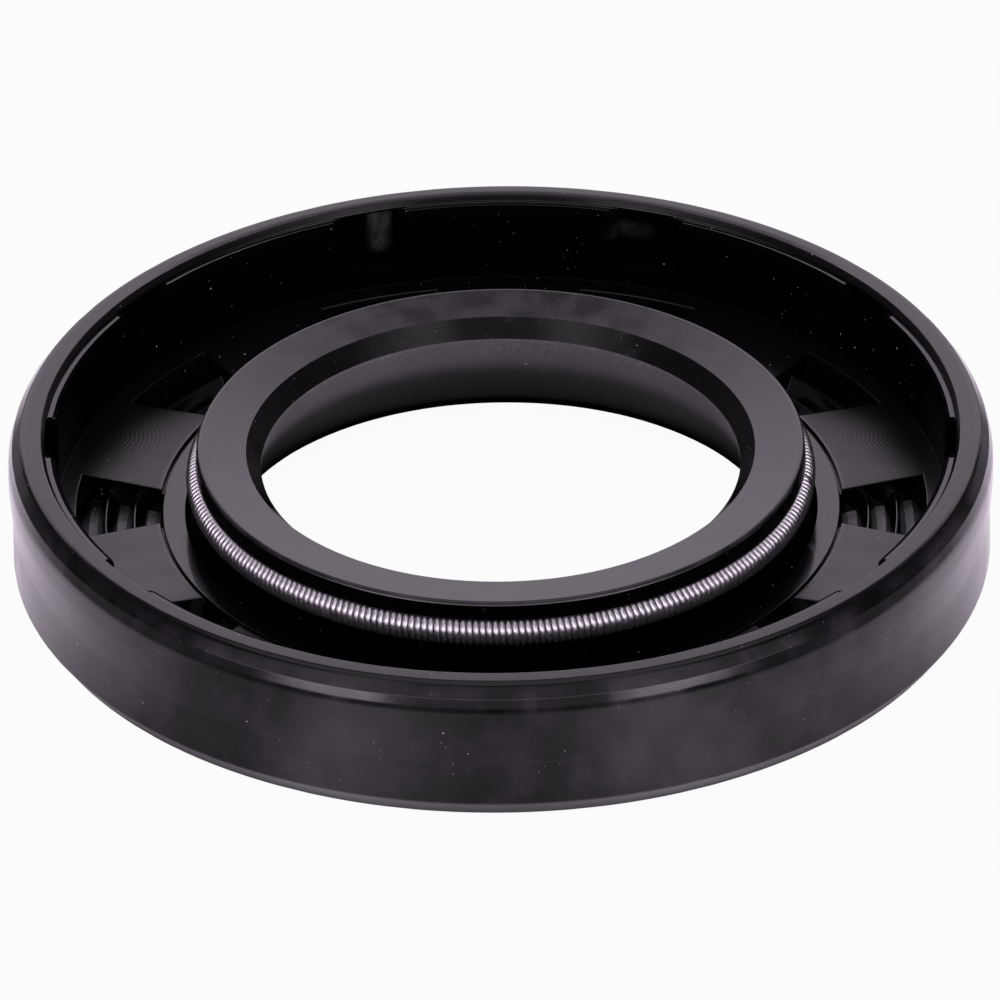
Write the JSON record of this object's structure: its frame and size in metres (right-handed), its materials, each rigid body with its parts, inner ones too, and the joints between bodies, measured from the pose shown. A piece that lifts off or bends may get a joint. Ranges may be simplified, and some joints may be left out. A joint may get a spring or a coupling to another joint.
{
  "type": "radial shaft seal",
  "caption": "Rubber-covered rotary shaft seal with a single garter-sprung lip, an open trough with ribbed pockets, and a pressed steel ring moulded inside.",
  "frame": {"origin": "on the shaft axis, in the plane of the flat air-side back face", "axes": "+Z along the shaft axis, from the back face towards the spring side"},
  "size_m": [0.0624, 0.0624, 0.0098],
  "materials": {
    "rubber": "glossy moulded black elastomer",
    "case_steel": "bonded sheet steel, fully covered",
    "spring_steel": "bright drawn spring wire, lightly oiled"
  },
  "bodies": {
    "root": {"rubber_body": "rubber", "case_ring": "case_steel", "garter_spring": "spring_steel"}
  },
  "joints": []
}
